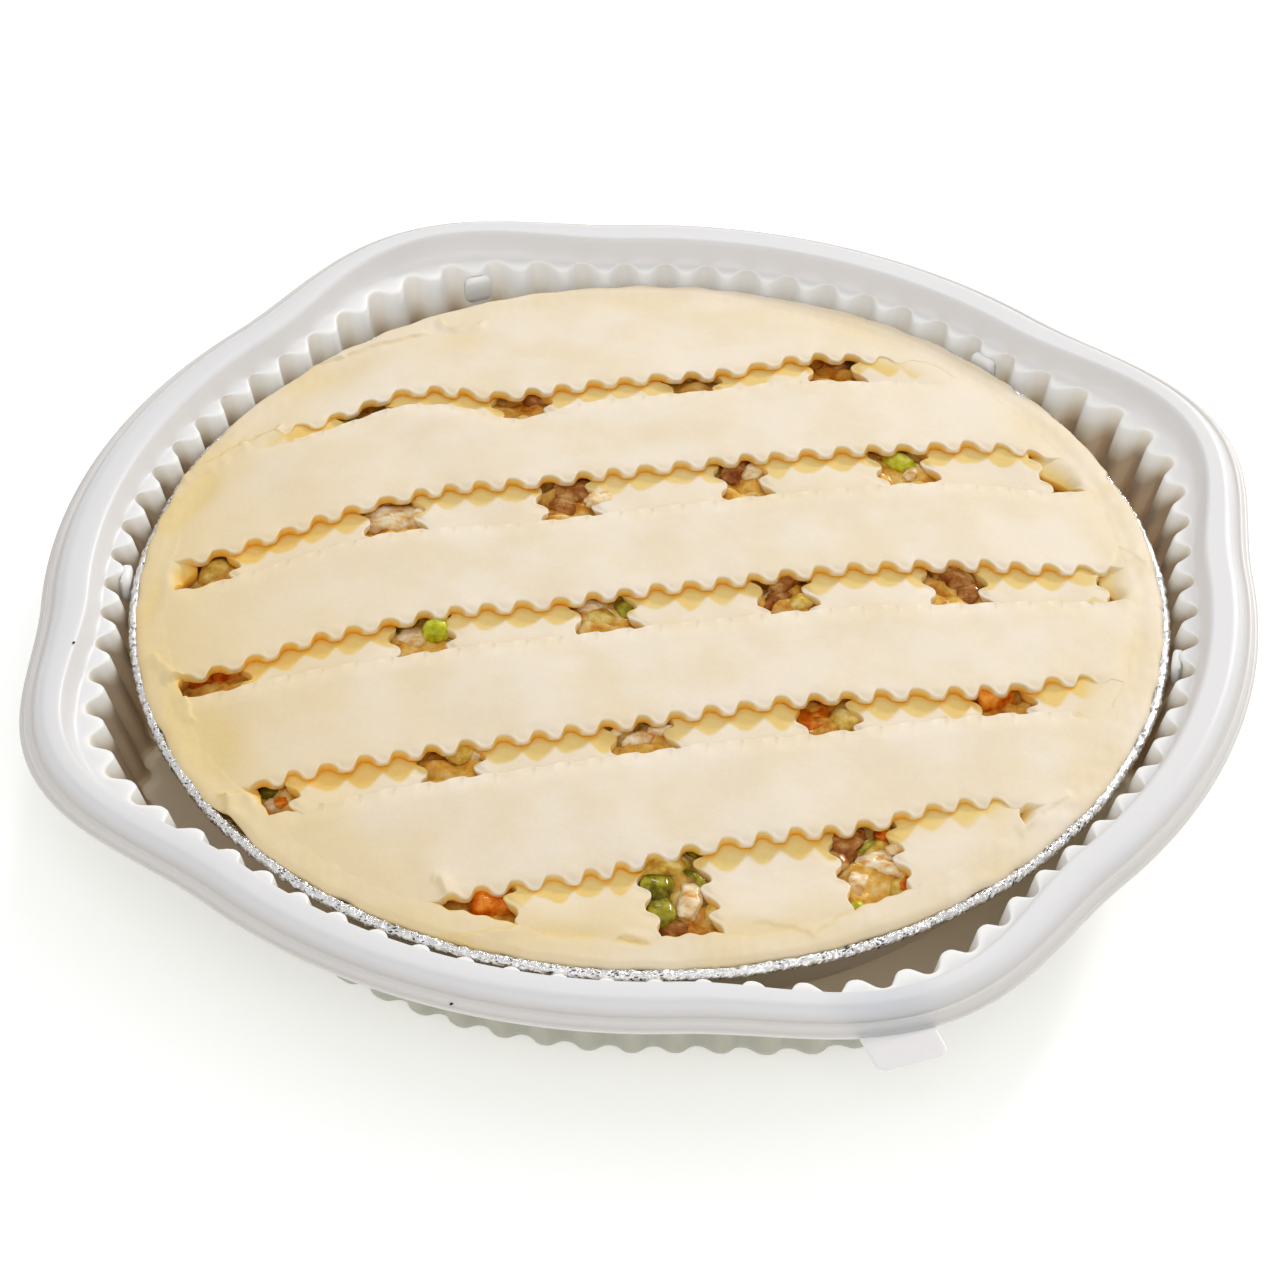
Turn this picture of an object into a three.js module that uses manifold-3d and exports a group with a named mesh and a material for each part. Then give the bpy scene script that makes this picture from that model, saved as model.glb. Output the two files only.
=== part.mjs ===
// Chicken pot pie: an uncooked lattice pie in a foil pan, set in its fluted plastic tray.
// Millimetres, +Z up. The origin is the centre of the tray's underside, and the tab points to -Y.
import * as THREE from 'three';
import { mergeVertices } from 'three/addons/utils/BufferGeometryUtils.js';
import Module from 'manifold-3d';

const wasm = await Module();
wasm.setup();

const turn = Math.PI * 2;
const degree = Math.PI / 180;

// ---- driving dimensions ----

const tray = {
  wall: 0.8, // thickness of the formed sheet
  fluteCount: 76,
  firstFlute: 3.2, // degrees, centre of the first outward flute
  pointsPerFlute: 4,
  floorRadius: 147.6, // middle of the flutes at the floor
  floorFlute: 1.6, // half depth of the flutes at the floor
  ledgeRadius: 157.6, // middle of the flutes at the ledge
  ledgeFlute: 2.3,
  ledgeHeight: 39,
  rimHeight: 46.3,
  rimColumns: 76,
};

// The four bulges of the tray: how far each outline swells at a bulge, and over what half angle.
const bulge = { first: 24.9, count: 4, halfAngle: 22.5 };
const outline = {
  floor: { radius: tray.floorRadius, swell: 9.5 },
  ledge: { radius: tray.ledgeRadius, swell: 10.5 },
  wallFoot: { radius: 162, swell: 13 },
  rimInner: { radius: 166.4, swell: 12.8 },
  rimOuter: { radius: 172.6, swell: 12.4 },
  crease: { radius: 173.6, swell: 12.4 },
  lip: { radius: 177.4, swell: 12.4 },
};
const creaseHeight = 44.4;
const lipHeight = 40.8;

const tab = { angle: 290.7, width: 20.5, reach: 200, root: 180, corner: 3, thick: 1 };
const lug = { angles: [48.2, 109.8, 176.1, 351.4], wide: 9, tall: 9, proud: 1.8, top: 38 };

const pan = {
  columns: 56,
  foil: 0.5,
  floorHeight: 1.1,
  floorRadius: 128,
  wallTop: 145.6,
  wallTopHeight: 33.9,
  beadRadius: 1.55,
  outerRadius: 152,
  beadHeight: 34.7,
};

const crust = {
  sheet: 2.6, // thickness of one rolled layer of dough
  gap: 0.9, // clearance between stacked layers
  edgeRadius: 148.6,
  edgeHeight: 37, // dome height where the crust meets the pan's bead
  rise: 11, // how much higher the middle is
  power: 2.6,
  domeRadius: 150,
  borderInner: 140.3,
  scallopPitch: 9.7,
  scallopDepth: 2.1, // half the height of one scallop
  notchStation: 0.36, // fraction of the pitch taken by a notch
  topStations: 3,
  underStations: 2,
};

// Edges of the top strips, far side first. Each runs left to right as y = at + slope * x,
// pushed aside by its sways: [x, push, half width].
const topEdges = [
  { at: 140, slope: 0.1, sways: [] },
  { at: 94.5, slope: 0.19, sways: [[-74, 9.5, 17], [52, 4.5, 17]] },
  { at: 87, slope: 0.18, sways: [[-74, 7, 16], [-40, -5, 10], [40, 2, 14]] },
  { at: 49, slope: 0.19, sways: [[-62, 3, 16], [-132, -9, 26], [128, -11, 22]] },
  { at: 31, slope: 0.2, sways: [[-77, 5, 24], [128, -7, 24], [-135, -2, 20]] },
  { at: -6, slope: 0.16, sways: [[-128, -9, 20], [-92, -2.5, 20], [-25, -1.5, 20], [68, 2, 26], [128, -2, 20]] },
  { at: -22, slope: 0.16, sways: [[-128, -1.5, 20], [42, 1, 30]] },
  { at: -60.5, slope: 0.18, sways: [[-72, 0.8, 20], [40, 1.5, 30], [132, -3, 14]] },
  { at: -72.5, slope: 0.2, sways: [[-75, 1.5, 24], [50, -1.5, 20]] },
  { at: -112.5, slope: 0.24, sways: [[-50, 2, 20], [25, 3.5, 22], [106, -6, 24]] },
];
const topStrips = [[0, 1], [2, 3], [4, 5], [6, 7], [8, 9]];

// Edges of the crosswise strips below, left to right. Each runs front to back as x = at + slope * y.
const underEdges = [
  { at: -119.5, slope: -0.24, sways: [[-36, -5, 22]] },
  { at: -78.5, slope: -0.2, sways: [] },
  { at: -62.3, slope: -0.2, sways: [] },
  { at: -24.5, slope: -0.22, sways: [[88, -4, 24]] },
  { at: -8, slope: -0.22, sways: [[88, -5, 24]] },
  { at: 31, slope: -0.21, sways: [[95, -6, 24]] },
  { at: 45.5, slope: -0.24, sways: [[95, -2, 24]] },
  { at: 82, slope: -0.24, sways: [[105, -8, 26]] },
  { at: 98, slope: -0.24, sways: [[105, -9, 26], [-92, -6, 18]] },
  { at: 134.5, slope: -0.29, sways: [] },
];
const underStrips = [[0, 1], [2, 3], [4, 5], [6, 7], [8, 9]];

// Pieces of filling that show in each opening, one string per gap from the far side,
// one letter per column of openings: carrot, pea, green celery, meat, or nothing.
const filling = {
  gapEdges: [[1, 2], [3, 4], [5, 6], [7, 8]],
  columnEdges: [[1, 2], [3, 4], [5, 6], [7, 8]],
  kinds: ['.mmg', 'mmmp', 'pmmm', 'mgcc'],
  frontRow: { y: [-122, -122, -112], kinds: 'cgm' },
  pea: 4,
  cube: 6.2,
  chunk: [4.6, 3.9, 3.8],
  below: 0.5, // clearance under the strips
  clear: 3.6, // how far the tops of the pieces stay below the crust's surface
  wallRadius: 143.9,
  topHeight: 32.4,
};

const colours = {
  tray: 0xe4e2e2,
  foil: 0xc9cbce,
  crust: 0xeee0c2,
  filling: 0xb98f4a,
};

// ---- shared shape functions ----

function smooth(t) {
  return 0.5 + 0.5 * Math.cos(Math.PI * Math.min(Math.abs(t), 1));
}

function domeHeight(x, y) {
  const share = Math.min(Math.hypot(x, y) / crust.domeRadius, 1);
  return crust.edgeHeight + crust.rise * (1 - share ** crust.power);
}

// Angle in degrees from the nearest bulge of the tray.
function fromBulge(angle) {
  const step = 360 / bulge.count;
  const offset = (((angle - bulge.first) % step) + step) % step;
  return Math.min(offset, step - offset);
}

function planRadius(curve, angle) {
  return curve.radius + curve.swell * smooth(fromBulge(angle) / bulge.halfAngle);
}

// A straight edge with its sways.
function edgeAt(edge, along) {
  let value = edge.at + edge.slope * along;
  for (const [where, push, halfWidth] of edge.sways) {
    value += push * smooth((along - where) / (2 * halfWidth));
  }
  return value;
}

function toGeometry(points, faces) {
  const geometry = new THREE.BufferGeometry();
  geometry.setAttribute('position', new THREE.Float32BufferAttribute(points.flat(), 3));
  geometry.setIndex(faces.flat());
  return geometry;
}

function toManifold(source) {
  const bare = source.clone();
  bare.deleteAttribute('normal');
  bare.deleteAttribute('uv');
  const merged = mergeVertices(bare, 1e-4);
  const vertProperties = new Float32Array(merged.attributes.position.array);
  const triVerts = new Uint32Array(merged.index.array);
  return new wasm.Manifold(new wasm.Mesh({ numProp: 3, vertProperties, triVerts }));
}

function fromManifold(solid) {
  const mesh = solid.getMesh();
  const geometry = new THREE.BufferGeometry();
  geometry.setAttribute('position', new THREE.Float32BufferAttribute(mesh.vertProperties, 3));
  geometry.setIndex(Array.from(mesh.triVerts));
  return geometry;
}

// Joins two rings of points, the second with as many points or half as many.
function stitch(faces, first, second, count, ratio) {
  for (let i = 0; i < count; i += 1) {
    const next = (i + 1) % count;
    const near = second + Math.floor(i / ratio);
    const far = second + (Math.floor((i + 1) / ratio) % (count / ratio));
    faces.push([first + i, first + next, far]);
    if (near !== far) {
      faces.push([first + i, far, near]);
    }
  }
}

// ---- tray ----

// Fluted outline: two points on each outward flute and two on each inward ridge.
function fluteRing(curve, halfDepth, height, offset) {
  const count = tray.fluteCount * tray.pointsPerFlute;
  return Array.from({ length: count }, (_, i) => {
    const phase = (i % tray.pointsPerFlute) < 2 ? 1 : -1;
    const angle = tray.firstFlute + ((i - 0.5) * 360) / count;
    const radius = planRadius(curve, angle) + phase * halfDepth + offset;
    return [radius * Math.cos(angle * degree), radius * Math.sin(angle * degree), height];
  });
}

function rimRing(curve, height, offset) {
  return Array.from({ length: tray.rimColumns }, (_, i) => {
    const angle = tray.firstFlute + ((i - 0.25) * 360) / tray.rimColumns;
    const radius = planRadius(curve, angle) + offset;
    return [radius * Math.cos(angle * degree), radius * Math.sin(angle * degree), height];
  });
}

function trayShell() {
  const wall = tray.wall;
  const rings = [
    fluteRing(outline.floor, tray.floorFlute, wall, 0),
    fluteRing(outline.ledge, tray.ledgeFlute, tray.ledgeHeight, 0),
    rimRing(outline.wallFoot, tray.ledgeHeight, 0.6),
    rimRing(outline.rimInner, tray.rimHeight, 0),
    rimRing(outline.rimOuter, tray.rimHeight, 0),
    rimRing(outline.crease, creaseHeight, 0),
    rimRing(outline.lip, lipHeight + wall, 0),
    rimRing(outline.lip, lipHeight, 0),
    rimRing(outline.crease, creaseHeight - wall, -wall),
    rimRing(outline.rimInner, tray.rimHeight - wall, wall),
    rimRing(outline.wallFoot, tray.ledgeHeight - wall, 0.6 + wall),
    fluteRing(outline.ledge, tray.ledgeFlute, tray.ledgeHeight - wall, wall),
    fluteRing(outline.floor, tray.floorFlute, 0, wall),
  ];
  const points = [];
  const faces = [];
  const starts = rings.map((ring) => {
    const start = points.length;
    points.push(...ring);
    return start;
  });
  for (let i = 0; i + 1 < rings.length; i += 1) {
    const [inner, outer] = [rings[i].length, rings[i + 1].length];
    if (inner >= outer) {
      stitch(faces, starts[i], starts[i + 1], inner, inner / outer);
    } else {
      const turned = [];
      stitch(turned, starts[i + 1], starts[i], outer, outer / inner);
      faces.push(...turned.map(([a, b, c]) => [a, c, b]));
    }
  }
  const last = starts[starts.length - 1];
  const count = rings[0].length;
  const top = points.push([0, 0, wall]) - 1;
  const under = points.push([0, 0, 0]) - 1;
  for (let i = 0; i < count; i += 1) {
    const next = (i + 1) % count;
    faces.push([top, next, i], [under, last + i, last + next]);
  }
  return toGeometry(points, faces.map(([a, b, c]) => [a, c, b]));
}

// The flat finger tab on the lip, flared where it leaves the rim.
function tabShape() {
  const half = tab.width / 2;
  const shape = new THREE.Shape();
  shape.moveTo(tab.root, -half - 4);
  shape.quadraticCurveTo(tab.root + 12, -half, tab.reach - tab.corner, -half);
  shape.quadraticCurveTo(tab.reach, -half, tab.reach, -half + tab.corner);
  shape.lineTo(tab.reach, half - tab.corner);
  shape.quadraticCurveTo(tab.reach, half, tab.reach - tab.corner, half);
  shape.quadraticCurveTo(tab.root + 12, half, tab.root, half + 4);
  const geometry = new THREE.ExtrudeGeometry(shape, { depth: tab.thick, bevelEnabled: false, curveSegments: 4 });
  geometry.translate(0, 0, lipHeight - 0.1);
  geometry.rotateZ(tab.angle * degree);
  return geometry;
}

// A denesting lug: a small block standing proud of one ridge, just under the ledge.
function lugShape(angle) {
  const ridge = planRadius(outline.ledge, angle) - tray.ledgeFlute;
  const depth = lug.proud + 3;
  const geometry = new THREE.BoxGeometry(depth, lug.wide, lug.tall);
  geometry.translate(ridge - lug.proud + depth / 2, 0, lug.top - lug.tall / 2);
  geometry.rotateZ(angle * degree);
  return geometry;
}

function trayBody() {
  const shell = toManifold(trayShell());
  // what lies outside the wall of the tub is trimmed off each lug by the tub's own outer form
  const tub = toManifold(tubFill());
  let body = shell.add(toManifold(tabShape()));
  for (const angle of lug.angles) {
    body = body.add(toManifold(lugShape(angle)).intersect(tub));
  }
  return fromManifold(body);
}

// The tub's outside as a solid block.
function tubFill() {
  const base = fluteRing(outline.floor, tray.floorFlute, 0.1, tray.wall / 2);
  const lid = fluteRing(outline.ledge, tray.ledgeFlute, tray.ledgeHeight - 0.3, tray.wall / 2);
  const count = base.length;
  const faces = [];
  stitch(faces, 0, count, count, 1);
  for (let i = 0; i < count; i += 1) {
    const next = (i + 1) % count;
    faces.push([2 * count, next, i], [2 * count + 1, count + i, count + next]);
  }
  return toGeometry([...base, ...lid, [0, 0, 0.1], [0, 0, tray.ledgeHeight - 0.3]], faces);
}

// ---- foil pan ----

function panBody() {
  const bead = { x: pan.outerRadius - pan.beadRadius, y: pan.beadHeight };
  const profile = [
    new THREE.Vector2(0, pan.floorHeight),
    new THREE.Vector2(pan.floorRadius, pan.floorHeight),
    new THREE.Vector2(pan.wallTop, pan.wallTopHeight),
  ];
  for (const angle of [-80, -20, 40, 100, 150]) {
    const x = bead.x + pan.beadRadius * Math.cos(angle * degree);
    profile.push(new THREE.Vector2(x, bead.y + pan.beadRadius * Math.sin(angle * degree)));
  }
  profile.push(
    new THREE.Vector2(bead.x - 1.4, pan.wallTopHeight + pan.foil),
    new THREE.Vector2(pan.wallTop + 0.2, pan.wallTopHeight + pan.foil),
    new THREE.Vector2(pan.floorRadius - 0.2, pan.floorHeight + pan.foil),
    new THREE.Vector2(0, pan.floorHeight + pan.foil),
  );
  return lathe(profile, pan.columns);
}

// A profile turned about +Z.
function lathe(profile, columns) {
  const geometry = new THREE.LatheGeometry(profile, columns);
  geometry.rotateX(Math.PI / 2);
  return geometry;
}

// ---- crust ----

// The folded-over border of dough, sealed to the pan's rim.
function borderBody() {
  const inner = crust.borderInner;
  const outer = crust.edgeRadius;
  const shelf = pan.wallTopHeight + pan.foil + crust.gap;
  const profile = [
    new THREE.Vector2(inner, domeHeight(inner, 0) - 2 * crust.sheet - crust.gap),
    new THREE.Vector2(pan.wallTop - 1.2, pan.wallTopHeight - 0.4),
    new THREE.Vector2(pan.wallTop + 0.4, shelf),
    new THREE.Vector2(outer - 0.6, shelf),
    new THREE.Vector2(outer, shelf + 0.7),
    new THREE.Vector2(outer - 0.5, domeHeight(outer, 0) - 0.3),
    new THREE.Vector2((inner + outer) / 2, domeHeight((inner + outer) / 2, 0)),
    new THREE.Vector2(inner, domeHeight(inner, 0)),
  ];
  profile.push(profile[0].clone());
  return lathe(profile, pan.columns);
}

// Scalloped offset of an edge: +depth on a tooth and -depth in a notch.
function scallop(along, stations) {
  const share = (((along / crust.scallopPitch) % 1) + 1) % 1;
  if (stations === 2) {
    return share < 0.5 ? crust.scallopDepth : -crust.scallopDepth;
  }
  return share < crust.notchStation ? -crust.scallopDepth : crust.scallopDepth;
}

// Places along a strip: the same few stations in every scallop.
function stripStations(reach, stations) {
  const places = [];
  const turns = Math.ceil(reach / crust.scallopPitch);
  const shares = stations === 2 ? [0.25, 0.75] : [0.18, 0.5, 0.86];
  for (let k = -turns; k < turns; k += 1) {
    for (const share of shares) {
      places.push((k + share) * crust.scallopPitch);
    }
  }
  return places;
}

// One strip of dough: two scalloped edges joined by a top and a bottom that follow the dome.
function stripBody(lower, upper, drop, stations, crosswise) {
  const places = stripStations(crust.borderInner, stations);
  const points = [];
  const add = (along, across, height) => {
    const [x, y] = crosswise ? [across, along] : [along, across];
    points.push([x, y, domeHeight(x, y) - height]);
  };
  for (const along of places) {
    const tooth = scallop(along, stations);
    const low = edgeAt(lower, along) - tooth;
    const high = edgeAt(upper, along) + tooth;
    add(along, low, drop);
    add(along, high, drop);
    add(along, high, drop + crust.sheet);
    add(along, low, drop + crust.sheet);
  }
  const faces = [];
  const side = 4;
  for (let i = 0; i + 1 < places.length; i += 1) {
    for (let k = 0; k < side; k += 1) {
      const [a, b] = [i * side + k, i * side + ((k + 1) % side)];
      faces.push([a, a + side, b + side], [a, b + side, b]);
    }
  }
  const last = (places.length - 1) * side;
  faces.push([0, 1, 2], [0, 2, 3], [last, last + 2, last + 1], [last, last + 3, last + 2]);
  const outward = crosswise ? faces.map(([a, b, c]) => [a, c, b]) : faces;
  const strip = toManifold(toGeometry(points, outward));
  // a tooth cut loose by the round edge is left off
  const pieces = strip.intersect(borderOpening()).decompose();
  pieces.sort((a, b) => b.volume() - a.volume());
  return fromManifold(pieces[0]);
}

// The round opening inside the border, as a block taller than the crust.
function borderOpening() {
  const block = new THREE.CylinderGeometry(crust.borderInner - 0.3, crust.borderInner - 0.3, 40, pan.columns);
  block.rotateX(Math.PI / 2);
  block.translate(0, 0, crust.edgeHeight);
  return toManifold(block);
}

// ---- filling ----

// The body of gravy and pieces, level with the underside of the strips.
function fillingCore() {
  const drop = 2 * (crust.sheet + crust.gap) + filling.below;
  const floor = pan.floorHeight + pan.foil + crust.gap;
  const profile = [
    new THREE.Vector2(0, floor),
    new THREE.Vector2(pan.floorRadius - 0.8, floor),
    new THREE.Vector2(filling.wallRadius, filling.topHeight),
    new THREE.Vector2(crust.borderInner - 1.5, filling.topHeight),
  ];
  for (const radius of [130, 112, 90, 60, 28]) {
    profile.push(new THREE.Vector2(radius, domeHeight(radius, 0) - drop));
  }
  profile.push(new THREE.Vector2(0, domeHeight(0, 0) - drop));
  return lathe(profile, 36);
}

function pieceShape(kind) {
  if (kind === 'p') {
    return new THREE.SphereGeometry(filling.pea, 8, 6);
  }
  if (kind === 'c') {
    return new THREE.BoxGeometry(filling.cube, filling.cube, filling.cube * 0.7);
  }
  if (kind === 'g') {
    return new THREE.CylinderGeometry(filling.pea, filling.pea * 0.8, filling.cube, 7);
  }
  const chunk = new THREE.IcosahedronGeometry(1, 0);
  chunk.scale(...filling.chunk);
  return chunk;
}

// Centre of the opening where a gap between top strips crosses a gap between the strips below.
function openingCentre(gap, column) {
  let [x, y] = [0, 0];
  for (let i = 0; i < 8; i += 1) {
    x = (edgeAt(underEdges[column[0]], y) + edgeAt(underEdges[column[1]], y)) / 2;
    y = (edgeAt(topEdges[gap[0]], x) + edgeAt(topEdges[gap[1]], x)) / 2;
  }
  return [x, y];
}

function fillingPieces() {
  const pieces = [];
  filling.gapEdges.forEach((gap, row) => {
    filling.columnEdges.forEach((column, k) => {
      pieces.push({ kind: filling.kinds[row][k], at: openingCentre(gap, column) });
    });
  });
  filling.frontRow.y.forEach((y, k) => {
    const column = filling.columnEdges[k];
    const x = (edgeAt(underEdges[column[0]], y) + edgeAt(underEdges[column[1]], y)) / 2;
    pieces.push({ kind: filling.frontRow.kinds[k], at: [x, y] });
  });
  return pieces.filter((piece) => piece.kind !== '.');
}

function fillingBody() {
  let body = toManifold(fillingCore());
  fillingPieces().forEach(({ kind, at: [x, y] }, i) => {
    const shape = pieceShape(kind);
    shape.rotateX(0.3 * Math.sin(i * 2.3));
    shape.rotateZ(i * 1.7);
    shape.computeBoundingBox();
    shape.translate(x, y, domeHeight(x, y) - filling.clear - shape.boundingBox.max.z);
    body = body.add(toManifold(shape));
  });
  return fromManifold(body);
}

// ---- the pie ----

const pie = new THREE.Group();

function addPart(name, geometry, colour, roughness, metalness) {
  const material = new THREE.MeshStandardMaterial({ color: colour, roughness, metalness });
  const mesh = new THREE.Mesh(geometry, material);
  mesh.name = name;
  pie.add(mesh);
}

addPart('tray', trayBody(), colours.tray, 0.4, 0);
addPart('foil_pan', panBody(), colours.foil, 0.3, 1);
addPart('filling', fillingBody(), colours.filling, 0.3, 0);
addPart('crust_border', borderBody(), colours.crust, 0.7, 0);
underStrips.forEach(([left, right], i) => {
  const drop = crust.sheet + crust.gap;
  const strip = stripBody(underEdges[left], underEdges[right], drop, crust.underStations, true);
  addPart(`under_strip_${i + 1}`, strip, colours.crust, 0.7, 0);
});
topStrips.forEach(([far, near], i) => {
  const strip = stripBody(topEdges[near], topEdges[far], 0, crust.topStations, false);
  addPart(`top_strip_${i + 1}`, strip, colours.crust, 0.7, 0);
});

export default pie;
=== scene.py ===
import math

import bpy
import numpy as np
from mathutils import Matrix, Vector


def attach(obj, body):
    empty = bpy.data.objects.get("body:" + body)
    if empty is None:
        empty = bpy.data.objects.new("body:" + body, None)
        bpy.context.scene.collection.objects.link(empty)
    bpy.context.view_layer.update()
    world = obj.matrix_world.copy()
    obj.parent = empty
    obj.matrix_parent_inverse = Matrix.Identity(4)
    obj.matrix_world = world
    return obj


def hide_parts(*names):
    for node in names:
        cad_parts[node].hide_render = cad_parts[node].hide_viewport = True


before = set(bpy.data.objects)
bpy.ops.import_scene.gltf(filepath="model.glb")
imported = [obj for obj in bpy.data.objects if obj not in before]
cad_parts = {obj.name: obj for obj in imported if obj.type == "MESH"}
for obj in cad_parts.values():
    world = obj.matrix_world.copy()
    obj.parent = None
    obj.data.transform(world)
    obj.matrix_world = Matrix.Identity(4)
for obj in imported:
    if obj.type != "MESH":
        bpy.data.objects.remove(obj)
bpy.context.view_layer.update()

scene = bpy.context.scene
mm = 0.001
turn = 2 * math.pi

camera = {
    "distance": 1405,      # from the middle of the pan's rim
    "elevation": 41.37,
    "roll": 0.47,
    "aimHeight": 36,       # height of the pan's rim
    "lens": 135,
    "sensor": 36,
    "frame": 1280,         # width of the picture in pixels
    "shift": (-9.55, -36.0),    # in those pixels
    "clip": (0.05, 20),
}


def makeCamera():
    c = camera
    e, r = math.radians(c["elevation"]), math.radians(c["roll"])
    back = Vector((0, -math.cos(e), math.sin(e)))
    right, up = Vector((1, 0, 0)), Vector((0, math.sin(e), math.cos(e)))
    right2 = math.cos(r) * right + math.sin(r) * up
    up2 = -math.sin(r) * right + math.cos(r) * up
    data = bpy.data.cameras.new("camera")
    data.sensor_width, data.sensor_fit, data.lens = c["sensor"], "HORIZONTAL", c["lens"]
    data.shift_x, data.shift_y = (pixels / c["frame"] for pixels in c["shift"])
    data.clip_start, data.clip_end = c["clip"]
    obj = bpy.data.objects.new("camera", data)
    place = Vector((0, 0, c["aimHeight"] * mm)) + back * c["distance"] * mm
    axes = Matrix((right2, up2, back)).transposed().to_4x4()
    obj.matrix_world = Matrix.Translation(place) @ axes
    scene.collection.objects.link(obj)
    scene.camera = obj


makeCamera()
print("camera set")


def smooth(t):
    # 0 below 0, 1 above 1, and an S-curve between
    t = np.clip(t, 0, 1)
    return t * t * (3 - 2 * t)


def hump(t):
    # 1 at t = 0, falling as half a cosine to 0 at t = 1 and beyond
    return 0.5 + 0.5 * np.cos(np.pi * np.clip(np.abs(t), 0, 1))


def ripple(x, y, size, seed, waves=9):
    # sum of sine waves in spread directions, 0.7 to 1.5 times size long, scaled to about -1..1
    rng = np.random.default_rng(seed)
    angle = rng.uniform(0, turn, waves)
    length = size * rng.uniform(0.7, 1.5, waves)
    phase = rng.uniform(0, turn, waves)
    total = 0
    for a, k, p in zip(angle, turn / length, phase):
        total = total + np.sin((x * np.cos(a) + y * np.sin(a)) * k + p)
    return total / math.sqrt(waves)


def circle(count):
    # angles round a circle, as a column
    return np.linspace(0, turn, count, endpoint=False)[:, None]


def turnBy(degrees, x, y, x0=0, y0=0):
    # x and y turned about the origin, then moved by x0 and y0
    a = math.radians(degrees)
    return x0 + x * math.cos(a) - y * math.sin(a), y0 + x * math.sin(a) + y * math.cos(a)


def ringPoints(radius, a, height):
    # points at a radius, an angle a in radians and a height
    return np.stack([radius * np.cos(a), radius * np.sin(a), height], -1)


def surface(points, shade=None, wrapU=False, wrapV=False, capU=False):
    # points[i, j] in mm is the surface at step i of u and step j of v, and each cell of the grid is a quad.
    # wrapU and wrapV close the grid on itself, and capU closes a tube's two ends with a fan each. A first
    # or last column that is a single point becomes one vertex. Faces turn to enclose a positive volume
    nu, nv = points.shape[:2]
    co = points.reshape(-1, 3)
    values = np.zeros(nu * nv) if shade is None else shade.reshape(-1)
    index = np.arange(nu * nv).reshape(nu, nv)
    for column in (0, nv - 1):
        if np.ptp(points[:, column], axis=0).max() < 1e-6:
            index[:, column] = index[0, column]
    if wrapU:
        index = np.vstack([index, index[:1]])
    if wrapV:
        index = np.hstack([index, index[:, :1]])
    quads = np.stack([index[:-1, :-1], index[1:, :-1], index[1:, 1:], index[:-1, 1:]], -1).reshape(-1, 4)
    first, last = quads[:, 0] == quads[:, 1], quads[:, 2] == quads[:, 3]
    tris = np.vstack([quads[first][:, [0, 2, 3]], quads[last][:, [0, 1, 2]]])
    quads = quads[~(first | last)]
    if capU:
        co = np.vstack([co, points[0].mean(0), points[-1].mean(0)])
        values = np.concatenate([values, values[:1], values[-1:]])
        a, b = index[0], index[-1]
        tris = np.vstack([tris, np.stack([a[:-1], a[1:], np.full(len(a) - 1, nu * nv)], -1),
                          np.stack([b[1:], b[:-1], np.full(len(b) - 1, nu * nv + 1)], -1)])
    allTris = np.vstack([quads[:, :3], quads[:, [0, 2, 3]], tris])
    volume = (co[allTris[:, 0]] * np.cross(co[allTris[:, 1]], co[allTris[:, 2]])).sum()
    if volume < 0:
        quads, tris = quads[:, ::-1], tris[:, ::-1]
    used = np.unique(allTris)
    return co[used], np.searchsorted(used, quads), np.searchsorted(used, tris), values[used]


def makeMesh(name, surfaces):
    # several surfaces as one mesh, with their shade as a vertex attribute
    starts = np.cumsum([0] + [len(s[0]) for s in surfaces])
    co = np.vstack([s[0] for s in surfaces])
    quads, tris = (np.vstack([s[i] + start for s, start in zip(surfaces, starts)]) for i in (1, 2))
    mesh = bpy.data.meshes.new(name)
    mesh.vertices.add(len(co))
    mesh.vertices.foreach_set("co", (co * mm).astype(np.float32).ravel())
    corners = np.concatenate([quads.ravel(), tris.ravel()])
    mesh.loops.add(len(corners))
    mesh.loops.foreach_set("vertex_index", corners.astype(np.int32))
    faceStarts = np.concatenate([4 * np.arange(len(quads)), 4 * len(quads) + 3 * np.arange(len(tris))])
    mesh.polygons.add(len(faceStarts))
    mesh.polygons.foreach_set("loop_start", faceStarts.astype(np.int32))
    mesh.update(calc_edges=True)
    mesh.validate()
    mesh.polygons.foreach_set("use_smooth", np.ones(len(mesh.polygons), bool))
    layer = mesh.attributes.new("shade", "FLOAT", "POINT")
    layer.data.foreach_set("value", np.concatenate([s[3] for s in surfaces]).astype(np.float32))
    print(name, "triangles:", 2 * len(quads) + len(tris))
    return mesh


def addPiece(name, surfaces, material, nodes):
    obj = bpy.data.objects.new(name, makeMesh(name, surfaces))
    scene.collection.objects.link(obj)
    obj.data.materials.append(material)
    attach(obj, "root")
    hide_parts(*nodes)


def srgb(code):
    # sRGB hex to linear RGBA
    parts = [int(code[i:i + 2], 16) / 255 for i in (0, 2, 4)]
    return tuple(p / 12.92 if p <= 0.04045 else ((p + 0.055) / 1.055) ** 2.4 for p in parts) + (1,)


def hexStops(*stops):
    return [(where, srgb(code)) for where, code in stops]


def greyStops(*stops):
    return [(where, (grey, grey, grey, 1)) for where, grey in stops]


def connect(tree, node, **inputs):
    # inputs of a node by name, or by number after an i, each a value or another node's socket
    for key, value in inputs.items():
        socket = node.inputs[int(key[1:])] if key[1:].isdigit() else node.inputs[key.replace("_", " ")]
        if isinstance(value, bpy.types.NodeSocket):
            tree.links.new(value, socket)
        else:
            socket.default_value = value


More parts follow.
